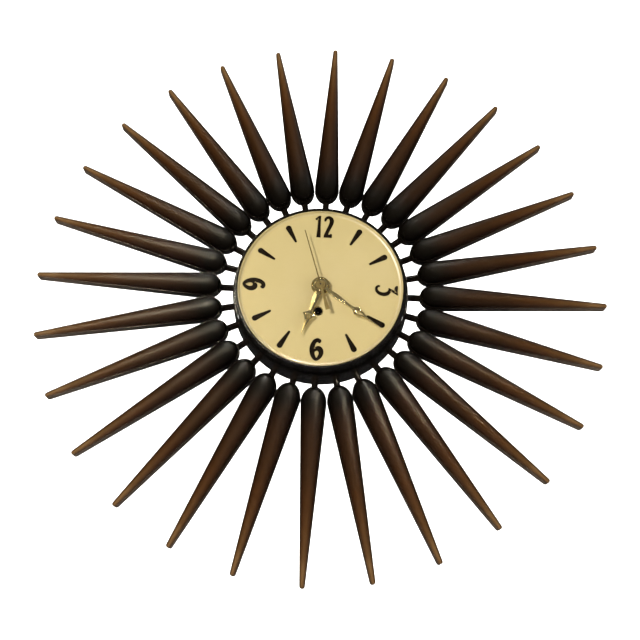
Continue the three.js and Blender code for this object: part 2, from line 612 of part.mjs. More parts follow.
function palletLever() {
  const toWheel = THREE.MathUtils.radToDeg(directionTo(PALLET_AT, ESCAPE_AT));
  const toBalance = THREE.MathUtils.radToDeg(directionTo(PALLET_AT, BALANCE_AT));
  const pins = [-1, 1].map((side) => polar(ESCAPE.tip + 0.95, toWheel + 180 + side * 36, ESCAPE_AT));
  const forkTips = [-1, 1].map((side) => polar(9.2, toBalance + side * 9, PALLET_AT));
  const outline = shapeFrom([
    polar(1.7, toWheel - 125, PALLET_AT), polar(0.9, toWheel + 180 + 36 + 75, pins[1]),
    polar(0.9, toWheel + 36 + 60, pins[1]), polar(1.7, toWheel, PALLET_AT),
    polar(0.9, toWheel - 36 - 60, pins[0]), polar(0.9, toWheel + 180 - 36 - 75, pins[0]),
    polar(1.7, toWheel + 125, PALLET_AT), polar(6, toBalance - 6, PALLET_AT), forkTips[0],
    polar(7.2, toBalance, PALLET_AT), forkTips[1], polar(6, toBalance + 6, PALLET_AT),
  ].sort((a, b) => directionTo(PALLET_AT, a) - directionTo(PALLET_AT, b)));
  const pinRods = pins.map((centre) => rod(0.45, LEVER_Y[0] + 0.2, LAYER.escapeWheel[1], centre, 6));
  return join(slenderArbor(PALLET_AT), plate(outline, LEVER_Y[0], LEVER_Y[1] - LEVER_Y[0]), ...pinRods);
}
addPart('pallet_lever', palletLever(), BRASS);

const BALANCE = { outer: 9, inner: 7.4, frontY: -26.4, backY: -24.6, arm: 0.9 };

function balanceWheel() {
  const [x, z] = BALANCE_AT;
  const rim = pipe(BALANCE.inner, BALANCE.outer, BALANCE.frontY, BALANCE.backY, BALANCE_AT, 24);
  const arms = box(
    x - BALANCE.inner - 0.5, x + BALANCE.inner + 0.5, BALANCE.frontY + 0.4, BALANCE.backY - 0.4,
    z - BALANCE.arm, z + BALANCE.arm,
  );
  const roller = rod(2.6, -18.9, -18.2, BALANCE_AT, 10);
  return join(slenderArbor(BALANCE_AT), rim, arms, roller);
}
addPart('balance_wheel', balanceWheel(), BRASS);

const hairspringShape = spiralShape(BALANCE_AT, 1.6, 5.6, 3, 12, 0.4);
addPart('hairspring', plate(hairspringShape, -23.2, 0.6), STEEL);

// ---------- motion work ----------
const cannonTip = directionTo(CENTRE_AT, MINUTE_WHEEL_AT);
const minuteWheelTip = meshAngle(GEARS.cannonPinion, CENTRE_AT, cannonTip, GEARS.minuteWheel, MINUTE_WHEEL_AT);
const CANNON = { inner: 2.4, outer: 2.95, frontY: -48.2, backY: -33.3 };
addPart('cannon_pinion', cut(
  join(
    pipe(CANNON.inner, CANNON.outer, CANNON.frontY, CANNON.backY),
    toothed(GEARS.cannonPinion, CENTRE_AT, cannonTip, -35.7, -33.6, CANNON.inner + 0.2),
  ),
  rod(CANNON.inner, CANNON.frontY - 1, CANNON.backY + 1, CENTRE_AT, 12),
), STEEL);

const minutePinionTip = directionTo(MINUTE_WHEEL_AT, CENTRE_AT);
addPart('minute_wheel', join(
  rod(PIVOT_R, -39.8, FRONT_PLATE_Y + 1, MINUTE_WHEEL_AT, 6),
  toothed(GEARS.minuteWheel, MINUTE_WHEEL_AT, minuteWheelTip, -35.3, -34.3),
  toothed(GEARS.minutePinion, MINUTE_WHEEL_AT, minutePinionTip, -39.3, -35.3),
), BRASS);

const HOUR_PIPE = { inner: 3.45, outer: 4.35, frontY: -45.9, backY: -37 };
const hourWheelTip = meshAngle(
  GEARS.minutePinion, MINUTE_WHEEL_AT, minutePinionTip, GEARS.hourWheel, CENTRE_AT,
);
addPart('hour_wheel', join(
  pipe(HOUR_PIPE.inner, HOUR_PIPE.outer, HOUR_PIPE.frontY, HOUR_PIPE.backY),
  toothed(GEARS.hourWheel, CENTRE_AT, hourWheelTip, -38.6, -37.4, HOUR_PIPE.inner + 0.4),
), BRASS);

// ---------- hands ----------
// A hand points to +Z, then turns clockwise to its angle. It swells from the hub to a belly,
// narrows to a waist, opens into a diamond eye and ends in a point.
function eyedHand(hand) {
  const mirrored = [...hand.side].reverse().map(([half, r]) => [-half, r]);
  const shape = shapeFrom([...hand.side, [0, hand.tip], ...mirrored]);
  const { start, widest, end, half } = hand.eye;
  const corners = [[0, start], [-half, widest], [0, end], [half, widest]];
  shape.holes.push(new THREE.Path(corners.map(([x, z]) => new THREE.Vector2(x, z))));
  const blade = plate(shape, hand.y, hand.thickness);
  const hub = pipe(hand.hole, hand.hubR, hand.y, hand.y + hand.thickness, CENTRE_AT, 20);
  return cut(join(blade, hub), rod(hand.hole, hand.y - 1, hand.y + 2, CENTRE_AT, 20));
}

function placeHand(name, geometry, degrees) {
  const hand = addPart(name, geometry, BRASS);
  hand.rotation.y = THREE.MathUtils.degToRad(degrees);
}
placeHand('hour_hand', eyedHand(HOUR_HAND), HOUR_ANGLE);
placeHand('minute_hand', eyedHand(MINUTE_HAND), MINUTE_ANGLE);

function sweepHand() {
  const { tip, tail, tipW, tailW, hubR, hole, y, thickness } = SECOND_HAND;
  const blade = plate(shapeFrom([[-tailW, -tail], [tailW, -tail], [tipW + 0.3, 0], [tipW, tip], [-tipW, tip],
    [-tipW - 0.3, 0]]), y, thickness);
  const hub = pipe(hole, hubR, y, y + thickness, CENTRE_AT, 16);
  return cut(join(blade, hub), rod(hole, y - 1, y + 2, CENTRE_AT, 16));
}
placeHand('second_hand', sweepHand(), SECOND_ANGLE);

addPart('hand_nut', pipe(NUT.hole, NUT.radius, NUT.y, NUT.y + NUT.thickness, CENTRE_AT, 16), BRASS);

export default clock;
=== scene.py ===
"""Looks for the sunburst wall clock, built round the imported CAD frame.

Lengths are in millimetres and are turned into metres when a mesh is made. A point is (x, y, z) in the
frame of the part: the wall is Y = 0, the clock faces -Y, and +Z points to 12 o'clock.
"""
import math
import bmesh
import bpy
from mathutils import Matrix, Vector


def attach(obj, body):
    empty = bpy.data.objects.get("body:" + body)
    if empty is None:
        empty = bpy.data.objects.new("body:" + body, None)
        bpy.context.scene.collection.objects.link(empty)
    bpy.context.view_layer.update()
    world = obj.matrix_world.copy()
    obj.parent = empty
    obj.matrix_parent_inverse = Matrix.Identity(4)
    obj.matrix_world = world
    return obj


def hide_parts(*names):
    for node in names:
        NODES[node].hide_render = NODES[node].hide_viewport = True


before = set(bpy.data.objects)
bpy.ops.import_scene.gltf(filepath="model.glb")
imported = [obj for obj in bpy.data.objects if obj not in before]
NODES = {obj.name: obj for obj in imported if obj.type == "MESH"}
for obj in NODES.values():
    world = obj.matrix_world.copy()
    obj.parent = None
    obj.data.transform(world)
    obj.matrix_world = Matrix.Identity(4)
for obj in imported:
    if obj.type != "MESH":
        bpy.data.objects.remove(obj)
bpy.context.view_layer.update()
MM = 0.001

# ---------- driving dimensions ----------
RAY_COUNT = 28
RAY_STEP = 2 * math.pi / RAY_COUNT
RAY_HEAD, RAY_WIDEST, RAY_TAPER_END, RAY_TIP = 106, 123, 301.5, 305
RAY_HEAD_HALF, RAY_TIP_HALF = 13.55, 2.95
TIP_SQUARENESS = 2.4              # 2 would make the tip's outline an ellipse; more makes it squarer
HEAD_STEPS, TAPER_STEPS, TIP_STEPS = 12, 27, 7
LIP_Y, RAY_BACK_Y = -33, -22.5
LEDGE = 1.00                      # how far the lip stands out from the crown
CROWN_INSET = LEDGE + 0.12        # how far the crown's foot stands in from the skirt
CROWN_FOOT_Y = LIP_Y + 0.05
CROWN = 0.75                      # crown height over its half width
CROWN_ARC_POINTS = 16

STEM_INNER, STEM_OUTER = 91.75, 110
STEM_HALF, STEM_CREST_HALF = 3.5, 0.99
STEM_CREST_Y, STEM_SHOULDER_Y, STEM_BACK_Y = -29.3, -25.5, -23.2
STEM_CREST_RISE = 0.7             # height of the crest's rounding
STEM_SHOULDER_CUT = 0.3
STEM_END_LENGTH, STEM_END_SCALE = 0.5, 0.9    # the inner end is drawn in, so that it looks rounded
STEM_STATION = 3                  # distance between the stem's sections

RING_SEGMENTS, DIAL_SEGMENTS, HUB_SEGMENTS, SMALL_SEGMENTS, SCREW_SEGMENTS = 224, 256, 96, 64, 48

DIAL_FACE_Y = -41.5
DIAL_THICK = 1.0
STAMP_DEPTH = 0.45                # how deep the numerals and marks are pressed into the dial
DIE_OVERCUT = 0.07                # how far the dies stand in front of the dial's face
MARK_INNER, MARK_OUTER = 58.2, 79.8
MARK_INNER_R, MARK_OUTER_R = 1.2, 3.0
BOLDER = 0.3                      # how far the numerals' strokes are drawn out on each side
KEY_HOLE_AT, KEY_HOLE_R = (-1, -27), 4.5
EYELET_BACK_Y, EYELET_R = -41.3, 5.4
ENAMEL_HALF_THICK, ENAMEL_CHAMFER = 0.12, 0.05
ENAMEL_Y = DIAL_FACE_Y + STAMP_DEPTH - 0.1

HOUR_ANGLE, MINUTE_ANGLE, SECOND_ANGLE = 197.2, 124, -18.3
HOUR_BACK_Y, MINUTE_BACK_Y, NUT_BACK_Y, SECOND_BACK_Y = -45.0, -47.2, -49.0, -50.75
FLUTE_FULL_HALF = 3               # half width from which a hand's flute has its full depth
ARMS_FULL_HALF = 0.5              # half width of the diamond from which its arms are fully crowned
ARM_MIDDLE_RISE, ARM_INNER_RISE = 0.8, 0.6    # how far they rise, over the flute's depth
HAND_STATION = 2.5                # greatest distance between a hand's sections
NUT_NOTCHES = 40
KNURL_INNER, KNURL_DEPTH = 4.4, 0.02          # the knurl's inner radius, and its depth over the radius

CAMERA_AT = (16.3, -887.6, -329.4)
CAMERA_AIM = (1.5, -35, -34.5)
CAMERA_ROLL = 3.56
CAMERA_LENS, CAMERA_SENSOR = 48.24, 36


# ---------- node materials ----------
class Finish:
    """A Principled material with short calls for the nodes that feed it."""

    def __init__(self, name, **sockets):
        self.material = bpy.data.materials.new(name)
        self.material.use_nodes = True
        self.tree = self.material.node_tree
        self.shader = self.tree.nodes["Principled BSDF"]
        for socket, value in sockets.items():
            self.shader.inputs[socket.replace("_", " ")].default_value = value
        self.coordinates = self.tree.nodes.new("ShaderNodeTexCoord").outputs["Object"]

    def node(self, kind, inputs=None, **settings):
        node = self.tree.nodes.new("ShaderNode" + kind)
        for setting, value in settings.items():
            setattr(node, setting, value)
        for socket, value in (inputs or {}).items():
            self.feed(node.inputs[socket], value)
        return node

    def feed(self, socket, value):
        if isinstance(value, bpy.types.NodeSocket):
            self.tree.links.new(value, socket)
        else:
            socket.default_value = value

    def stretched(self, x, y, z):
        """The object's coordinates, multiplied along each axis."""
        return self.node("Mapping", {"Vector": self.coordinates, "Scale": (x, y, z)}).outputs["Vector"]

    def noise(self, scale, detail=3, roughness=0.55, vector=None):
        inputs = {"Scale": scale, "Detail": detail, "Roughness": roughness}
        inputs["Vector"] = vector or self.coordinates
        return self.node("TexNoise", inputs).outputs["Fac"]

    def spread(self, value, low, high, from_low=0.0, from_high=1.0):
        """The value's range from_low..from_high, stretched to low..high."""
        names = ("From Min", "From Max", "To Min", "To Max")
        inputs = dict(zip(names, (from_low, from_high, low, high)))
        inputs["Value"] = value
        return self.node("MapRange", inputs).outputs["Result"]

    def math(self, operation, a, b):
        return self.node("Math", {0: a, 1: b}, operation=operation).outputs[0]

    def ramp(self, value, *stops):
        """Colours over a value, as (position, colour) stops."""
        ramp = self.node("ValToRGB", {"Fac": value})
        elements = ramp.color_ramp.elements
        while len(elements) < len(stops):
            elements.new(0.5)
        for element, (position, colour) in zip(elements, stops):
            element.position = position
            element.color = (*colour, 1)
        return ramp.outputs["Color"]

    def mix(self, factor, a, b, blend="MIX"):
        """A colour mix. The node's colour inputs are sockets 6 and 7, and its colour output is 2."""
        mix = self.node("Mix", data_type="RGBA", blend_type=blend)
        for socket, value in ((mix.inputs[0], factor), (mix.inputs[6], a), (mix.inputs[7], b)):
            self.feed(socket, (*value, 1) if isinstance(value, tuple) else value)
        return mix.outputs[2]

    def bump(self, height, strength, distance):
        """Bump on the shader, with its distance in millimetres."""
        bump = self.node("Bump", {"Height": height, "Strength": strength, "Distance": distance * MM})
        self.feed(self.shader.inputs["Normal"], bump.outputs["Normal"])

    def set(self, **sockets):
        for socket, value in sockets.items():
            self.feed(self.shader.inputs[socket.replace("_", " ")], value)


def ray_finish():
    """Sprayed satin lacquer: near black at the head, dark reddish brown, then golden brown at the tip.

    The skirt stays dark, and the front is darkened towards the sides as painted shade on the crown's
    flanks.
    Every ray's mesh is the one at 12 o'clock, so Z runs along the ray and X across it.
    """
    finish = Finish("ray_lacquer", Specular_IOR_Level=0.4)
    at = finish.node("SeparateXYZ", {"Vector": finish.coordinates}).outputs
    drift = finish.spread(finish.noise(22, 4, 0.6), -0.010, 0.010, 0.3, 0.7)
    shade = finish.spread(finish.math("ADD", at["Z"], drift), 0, 1, 0.100, 0.305)
    front = finish.ramp(
        shade,
        (0.03, (0.004, 0.0028, 0.0015)), (0.10, (0.006, 0.004, 0.002)), (0.15, (0.011, 0.0062, 0.003)),
        (0.24, (0.026, 0.0108, 0.0038)), (0.37, (0.042, 0.0170, 0.0046)), (0.49, (0.051, 0.0202, 0.0046)),
        (0.61, (0.072, 0.0272, 0.0060)), (0.73, (0.096, 0.0395, 0.0100)), (0.85, (0.136, 0.065, 0.020)),
        (0.95, (0.210, 0.112, 0.042)),
    )
    half = finish.spread(
        at["Z"], RAY_HEAD_HALF * MM, RAY_TIP_HALF * MM, RAY_WIDEST * MM, RAY_TAPER_END * MM,
    )
    across = finish.math("DIVIDE", finish.math("ABSOLUTE", at["X"], 0), half)
    # painted shade: the front darkens towards the ray's sides, standing in for the crown's flanks turned
    # from the light
    flank_painted_shade = finish.ramp(
        across, (0.15, (1.0, 1.0, 1.0)), (0.60, (0.66, 0.60, 0.53)), (0.95, (0.26, 0.20, 0.16)),
    )
    front = finish.mix(1.0, front, flank_painted_shade, "MULTIPLY")
    skirt = finish.ramp(
        shade, (0.15, (0.010, 0.007, 0.005)), (0.50, (0.035, 0.023, 0.015)), (1.00, (0.090, 0.062, 0.040)),
    )
    behind_lip = finish.spread(at["Y"], 0, 1, (LIP_Y - 0.3) * MM, (LIP_Y + 0.2) * MM)
    streak = finish.noise(1, 5, 0.65, finish.stretched(900, 900, 45))
    grain = finish.ramp(streak, (0.30, (0.80, 0.78, 0.76)), (0.62, (1.0, 1.0, 1.0)))
    satin = finish.spread(finish.noise(60, 3), 0.39, 0.46, 0.3, 0.7)
    glossier_stem = finish.spread(at["Z"], 0.4, 1, RAY_HEAD * MM, 0.113)
    finish.set(
        Base_Color=finish.mix(0.7, finish.mix(behind_lip, front, skirt), grain, "MULTIPLY"),
        Roughness=finish.math("MULTIPLY", satin, glossier_stem),
    )
    finish.bump(streak, 0.06, 0.08)
    return finish.material


def black_gloss():
    """Gloss black moulding with the slight waviness of moulded plastic and a little dust."""
    finish = Finish("black_gloss_moulding", Specular_IOR_Level=0.5)
    dust = finish.noise(350, 4, 0.7)
    finish.set(
        Base_Color=finish.ramp(dust, (0.50, (0.0048, 0.0043, 0.0040)), (0.90, (0.010, 0.009, 0.008))),
        Roughness=finish.spread(dust, 0.17, 0.23, 0.35, 0.75),
    )
    finish.bump(finish.noise(40, 2), 0.02, 0.12)
    return finish.material


def numeral_enamel():
    """Dark brown-black enamel that fills the stamped numerals and marks."""
    finish = Finish("numeral_enamel", Specular_IOR_Level=0.1)
    cloud = finish.noise(260, 3)
    finish.set(
        Base_Color=finish.ramp(cloud, (0.35, (0.007, 0.004, 0.002)), (0.70, (0.014, 0.009, 0.004))),
        Roughness=finish.spread(cloud, 0.38, 0.52, 0.3, 0.7),
    )
    finish.bump(finish.noise(700, 2), 0.08, 0.08)
    return finish.material


def dial_gold():
    """Satin pale gold, with soft cloudy patches and very fine brushing, and a glossier rolled lip."""
    finish = Finish(
        "dial_satin_gold", Metallic=0.05, Specular_IOR_Level=0.1, Coat_Roughness=0.36, Coat_IOR=2.1,
    )
    patch = finish.noise(11, 3, 0.5)
    tone = finish.ramp(
        patch, (0.32, (0.665, 0.548, 0.262)), (0.52, (0.692, 0.571, 0.276)), (0.72, (0.706, 0.585, 0.300)),
    )
    brushing = finish.noise(1, 3, 0.6, finish.stretched(90, 200, 2600))
    flattened = finish.stretched(1, 0, 1)
    radius = finish.node("VectorMath", {0: flattened}, operation="LENGTH").outputs["Value"]
    finish.set(
        Base_Color=finish.mix(finish.spread(brushing, 0, 0.10, 0.3, 0.7), tone, (0.60, 0.47, 0.22)),
        Roughness=finish.spread(finish.noise(40, 4), 0.46, 0.54, 0.3, 0.7),
        Coat_Weight=finish.spread(radius, 0, 1, 0.0832, 0.0845),
    )
    finish.bump(brushing, 0.05, 0.03)
    return finish.material


def hand_gold():
    """Polished gold of the stamped hands, with fine lengthwise draw lines and slight tarnish."""
    finish = Finish("hand_polished_gold", Metallic=0.85)
    tarnish = finish.noise(160, 4, 0.6)
    lines = finish.noise(1, 2, 0.5, finish.stretched(2200, 400, 120))
    finish.set(
        Base_Color=finish.ramp(tarnish, (0.35, (0.72, 0.59, 0.27)), (0.65, (0.80, 0.67, 0.34))),
        Roughness=finish.spread(tarnish, 0.20, 0.25, 0.3, 0.7),
    )
    finish.bump(lines, 0.05, 0.04)
    return finish.material


def brushed_metal(name, dark, light, roughness, cloud_scale, grain_scale, metallic=1.0):
    """Plain stamped or turned metal of the movement, the fittings and the second hand."""
    finish = Finish(name, Metallic=metallic)
    cloud = finish.noise(cloud_scale, 4, 0.6)
    grain = finish.noise(1, 3, 0.6, finish.stretched(grain_scale, 300, 60))
    finish.set(
        Base_Color=finish.ramp(cloud, (0.3, dark), (0.7, light)),
        Roughness=finish.spread(grain, roughness, roughness + 0.16, 0.3, 0.7),
    )
    finish.bump(grain, 0.08, 0.05)
    return finish.material


def zinc_plate():
    """Zinc-plated steel with a faint spangle."""
    finish = Finish("zinc_plated_steel", Metallic=1.0)
    cells = finish.node("TexVoronoi", {"Vector": finish.coordinates, "Scale": 260.0}).outputs["Color"]
    flake = finish.node("SeparateColor", {"Color": cells}).outputs[0]
    finish.set(
        Base_Color=finish.ramp(flake, (0.0, (0.38, 0.39, 0.40)), (1.0, (0.58, 0.59, 0.60))),
        Roughness=finish.spread(flake, 0.28, 0.42),
    )
    finish.bump(finish.noise(900, 3), 0.07, 0.05)
    return finish.material


def cover_board():
    """Dark pressed board of the back cover: mottled, with a fibrous surface."""
    finish = Finish("cover_pressed_board", Specular_IOR_Level=0.3)
    mottle = finish.noise(120, 5, 0.7)
    fibre = finish.noise(1, 4, 0.7, finish.stretched(2400, 400, 700))
    base = finish.ramp(mottle, (0.3, (0.020, 0.014, 0.010)), (0.7, (0.046, 0.033, 0.024)))
    finish.set(
        Base_Color=finish.mix(finish.spread(fibre, 0, 0.5, 0.45, 0.75), base, (0.075, 0.056, 0.040)),
        Roughness=finish.spread(mottle, 0.62, 0.80, 0.3, 0.7),
    )
    finish.bump(fibre, 0.25, 0.12)
    return finish.material


RAY = ray_finish()
BLACK = black_gloss()
ENAMEL = numeral_enamel()
DIAL_GOLD = dial_gold()
HAND_GOLD = hand_gold()
BRASS = brushed_metal("movement_brass", (0.52, 0.36, 0.12), (0.68, 0.50, 0.19), 0.26, 60, 1800)
STEEL = brushed_metal("movement_dark_steel", (0.05, 0.05, 0.055), (0.10, 0.10, 0.11), 0.30, 80, 1500)
SECOND_BRASS = brushed_metal(
    "sweep_hand_brass", (0.31, 0.22, 0.075), (0.38, 0.28, 0.10), 0.32, 90, 1400, 0.35,
)
# painted shade: the needle is coloured darker than the tail, standing in for the dark reflections along it
NEEDLE_SHADED_BRASS = brushed_metal(
    "sweep_needle_painted_shade_brass", (0.14, 0.095, 0.03), (0.20, 0.14, 0.05), 0.35, 90, 1400, 0.35,
)
# painted shade: the winding arbor is made near black so that the key hole in the dial looks dark inside
HOLE_SHADE_BLACK = brushed_metal("arbor_painted_shade_black", (0.006, 0.006, 0.006), (0.012, 0.012, 0.012), 0.45, 80, 1500)
ZINC = zinc_plate()
BOARD = cover_board()


# ---------- mesh tools ----------
def polar(radius, degrees):
    """The (x, z) point at a radius and an angle clockwise from 12."""
    return radius * math.sin(math.radians(degrees)), radius * math.cos(math.radians(degrees))


def finish_mesh(obj, material, sharp_degrees=32):
    """Merges repeated points, turns faces out and shades smooth except at sharp edges."""
    work = bmesh.new()
    work.from_mesh(obj.data)
    bmesh.ops.remove_doubles(work, verts=work.verts, dist=2e-6)
    bmesh.ops.dissolve_degenerate(work, edges=work.edges, dist=1e-6)
    bmesh.ops.recalc_face_normals(work, faces=work.faces)
    work.to_mesh(obj.data)
    work.free()
    obj.data.materials.clear()
    obj.data.materials.append(material)
    obj.data.shade_smooth()
    obj.data.set_sharp_from_angle(angle=math.radians(sharp_degrees))
    return obj


def mesh_object(name, points, faces, material, sharp_degrees=32):
    """A finished object from points in millimetres."""
    mesh = bpy.data.meshes.new(name)
    mesh.from_pydata([Vector(point) * MM for point in points], [], faces)
    obj = bpy.data.objects.new(name, mesh)
    bpy.context.scene.collection.objects.link(obj)
    return finish_mesh(obj, material, sharp_degrees)


def grid_faces(rows, columns, closed_rows=False, closed_columns=False, start=0):
    """Quads over points stored row by row."""
    faces = []
    for row in range(rows if closed_rows else rows - 1):
        for column in range(columns if closed_columns else columns - 1):
            a = row * columns + column
            b = row * columns + (column + 1) % columns
            c = (row + 1) % rows * columns + (column + 1) % columns
            d = (row + 1) % rows * columns + column
            faces.append(tuple(start + corner for corner in (a, b, c, d)))
    return faces


def lathe(name, profile, material, segments=192, centre=(0, 0), sharp_degrees=32):
    """A closed (radius, y) profile turned about a line along Y through centre, an (x, z) point."""
    points = []
    for i in range(segments):
        angle = 2 * math.pi * i / segments
        for radius, y in profile:
            points.append((centre[0] + radius * math.sin(angle), y, centre[1] + radius * math.cos(angle)))
    faces = grid_faces(segments, len(profile), closed_rows=True, closed_columns=True)
    return mesh_object(name, points, faces, material, sharp_degrees)


def rounded_corner(before, corner, after, setback):
    """Points that round off one corner of a profile, starting and ending at the setback from it."""
    steps = 4
    corner = Vector(corner)
    start = corner + (Vector(before) - corner).normalized() * setback
    end = corner + (Vector(after) - corner).normalized() * setback
    points = []
    for i in range(steps + 1):
        t = i / steps
        point = start * (1 - t) ** 2 + corner * 2 * t * (1 - t) + end * t ** 2
        points.append(tuple(point))
    return points


def rounded_profile(corners):
    """A closed profile of (radius, y, setback) corners. A setback of 0 leaves the corner sharp."""
    points = []
    for i, (radius, y, setback) in enumerate(corners):
        before, after = corners[i - 1][:2], corners[(i + 1) % len(corners)][:2]
        if setback:
            points += rounded_corner(before, (radius, y), after, setback)
        else:
            points.append((radius, y))
    return points


def smooth_loop(points):
    """A closed curve through (x, z) points. A point with a third value is a sharp corner."""
    steps = 7
    count = len(points)
    loop = []
    for i in range(count):
        p0, p1, p2, p3 = (Vector(points[(i + k) % count][:2]) for k in (-1, 0, 1, 2))
        if len(points[i]) > 2:
            p0 = p1
        if len(points[(i + 1) % count]) > 2:
            p3 = p2
        for step in range(steps):
            t = step / steps
            point = 2 * p1 + (p2 - p0) * t + (2 * p0 - 5 * p1 + 4 * p2 - p3) * t ** 2
            point += (3 * p1 - p0 - 3 * p2 + p3) * t ** 3
            loop.append(tuple(point / 2))
    return loop


def circle_loop(radius, centre):
    steps = 48
    around = (polar(radius, 360 * i / steps) for i in range(steps))
    return [(centre[0] + x, centre[1] + z) for x, z in around]


def evaluated_mesh(obj):
    """A new mesh with the object's curve settings or modifiers applied."""
    bpy.context.view_layer.update()
    return bpy.data.meshes.new_from_object(obj.evaluated_get(bpy.context.evaluated_depsgraph_get()))


def flat_solid(name, loops, y, half_thick, chamfer, material):
    """Closed (x, z) loops, filled and made solid about the plane Y = y, with a chamfered edge."""
    curve = bpy.data.curves.new(name, "CURVE")
    curve.dimensions = "2D"
    curve.fill_mode = "BOTH"
    curve.extrude = max(half_thick - chamfer, 0) * MM
    curve.bevel_depth = chamfer * MM
    curve.bevel_resolution = 0
    for loop in loops:
        spline = curve.splines.new("POLY")
        spline.points.add(len(loop) - 1)
        for point, (x, z) in zip(spline.points, loop):
            point.co = (x * MM, z * MM, 0, 1)
        spline.use_cyclic_u = True
    holder = bpy.data.objects.new(name, curve)
    bpy.context.scene.collection.objects.link(holder)
    mesh = evaluated_mesh(holder)
    bpy.data.objects.remove(holder)
    mesh.transform(Matrix.Translation((0, y * MM, 0)) @ Matrix.Rotation(math.pi / 2, 4, "X"))
    obj = bpy.data.objects.new(name, mesh)
    bpy.context.scene.collection.objects.link(obj)
    return finish_mesh(obj, material)


def joined(name, pieces):
    """One object from several."""
    with bpy.context.temp_override(active_object=pieces[0], selected_editable_objects=pieces):
        bpy.ops.object.join()
    pieces[0].name = name
    return pieces[0]


def cut_away(obj, cutters, material, sharp_degrees=32):
    """Removes the solid of all the cutters from obj, and deletes them."""
    cutter = joined("cutter", cutters)
    modifier = obj.modifiers.new("cut", "BOOLEAN")
    modifier.object = cutter
    modifier.operation = "DIFFERENCE"
    modifier.solver = "EXACT"
    modifier.use_self = True
    mesh = evaluated_mesh(obj)
    obj.modifiers.clear()
    obj.data = mesh
    bpy.data.objects.remove(cutter)
    finish_mesh(obj, material, sharp_degrees)


def place(obj, body, slot, *replaced):
    """Puts a finished piece on its body and hides the CAD nodes it stands for."""
    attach(obj, body)
    if replaced:
        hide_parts(*replaced)


# ---------- rays ----------
def ray_half_width(r, inset):
    """Half the ray's width at radius r, for an outline drawn in by inset."""
    head_end, tip_end = RAY_HEAD + inset, RAY_TIP - inset
    head_half, tip_half = RAY_HEAD_HALF - inset, RAY_TIP_HALF - inset
    if r < RAY_WIDEST:
        across = (RAY_WIDEST - r) / (RAY_WIDEST - head_end)
        return head_half * math.sqrt(max(0, 1 - across ** 2))
    taper = (r - RAY_WIDEST) / (RAY_TAPER_END - RAY_WIDEST)
    half = head_half + (tip_half - head_half) * min(taper, 1)
    if r > RAY_TAPER_END:
        across = (r - RAY_TAPER_END) / (tip_end - RAY_TAPER_END)
        half *= max(0, 1 - across ** TIP_SQUARENESS) ** (1 / TIP_SQUARENESS)
    return half


def ray_radii(inset):
    """Radii of the stations along a ray, close together at both ends."""
    head_end, tip_end = RAY_HEAD + inset, RAY_TIP - inset
    radii = []
    for i in range(HEAD_STEPS):
        radii.append(RAY_WIDEST - (RAY_WIDEST - head_end) * math.cos(math.pi / 2 * i / HEAD_STEPS))
    for i in range(TAPER_STEPS):
        radii.append(RAY_WIDEST + (RAY_TAPER_END - RAY_WIDEST) * i / TAPER_STEPS)
    for i in range(TIP_STEPS + 1):
        radii.append(RAY_TAPER_END + (tip_end - RAY_TAPER_END) * math.sin(math.pi / 2 * i / TIP_STEPS))
    return radii


def ray_outline(inset):
    """The ray's outline as (x, r): out along the right side and back along the left."""
    right = [(ray_half_width(r, inset), r) for r in ray_radii(inset)]
    return right + [(-x, r) for x, r in reversed(right)]


def ray_skin():
    """The moulded body: flat back, drafted skirt, a groove inside the lip and a crowned front."""
    levels = [  # (inset, y) of each outline, from the back to the foot of the crown
        (0.9, RAY_BACK_Y), (0.45, RAY_BACK_Y), (0.1, RAY_BACK_Y - 0.35), (0.0, RAY_BACK_Y - 0.9),
        (0.12, LIP_Y + 0.45), (0.16, LIP_Y + 0.15), (0.3, LIP_Y), (LEDGE - 0.1, LIP_Y + 0.02),
        (LEDGE, LIP_Y + 0.25), (CROWN_INSET, CROWN_FOOT_Y),
    ]
    points = []
    for inset, y in levels:
        points += [(x, y, r) for x, r in ray_outline(inset)]
    crown_radii = ray_radii(CROWN_INSET)
    side = len(crown_radii)
    loop = 2 * side
    faces = grid_faces(len(levels), loop, closed_columns=True)

    # The back is closed by joining its right side to its left.
    for j in range(side - 1):
        faces.append((j, loop - 1 - j, loop - 2 - j, j + 1))

    start = len(points)
    for r in crown_radii:
        half_width = ray_half_width(r, CROWN_INSET)
        for k in range(CROWN_ARC_POINTS + 1):
            angle = math.pi * k / CROWN_ARC_POINTS
            rise = CROWN * half_width * math.sin(angle)
            points.append((half_width * math.cos(angle), CROWN_FOOT_Y - rise, r))
    faces += grid_faces(side, CROWN_ARC_POINTS + 1, start=start)
    return points, faces


def stem_skin(start):
    """The bar from the band to the ray's head: flat back, sloping sides and a narrow rounded crest."""
    section = [
        (STEM_HALF, STEM_BACK_Y), (STEM_HALF, STEM_SHOULDER_Y + STEM_SHOULDER_CUT),
        (STEM_HALF - STEM_SHOULDER_CUT, STEM_SHOULDER_Y),
    ]
    for degrees in range(25, 91, 13):
        angle = math.radians(degrees)
        crest_y = STEM_CREST_Y + STEM_CREST_RISE - STEM_CREST_RISE * math.sin(angle)
        section.append((STEM_CREST_HALF * math.cos(angle), crest_y))
    section += [(-x, y) for x, y in reversed(section[:-1])]
    full_size = STEM_INNER + STEM_END_LENGTH
    radii = [STEM_INNER] + [full_size + STEM_STATION * i for i in range(6)] + [STEM_OUTER]
    points = []
    for r in radii:
        scale = STEM_END_SCALE if r < full_size else 1.0
        points += [(x * scale, STEM_BACK_Y + (y - STEM_BACK_Y) * scale, r) for x, y in section]
    count = len(section)
    faces = grid_faces(len(radii), count, closed_columns=True, start=start)
    faces.append(tuple(start + k for k in range(count)))
    faces.append(tuple(start + (len(radii) - 1) * count + k for k in reversed(range(count))))
    return points, faces


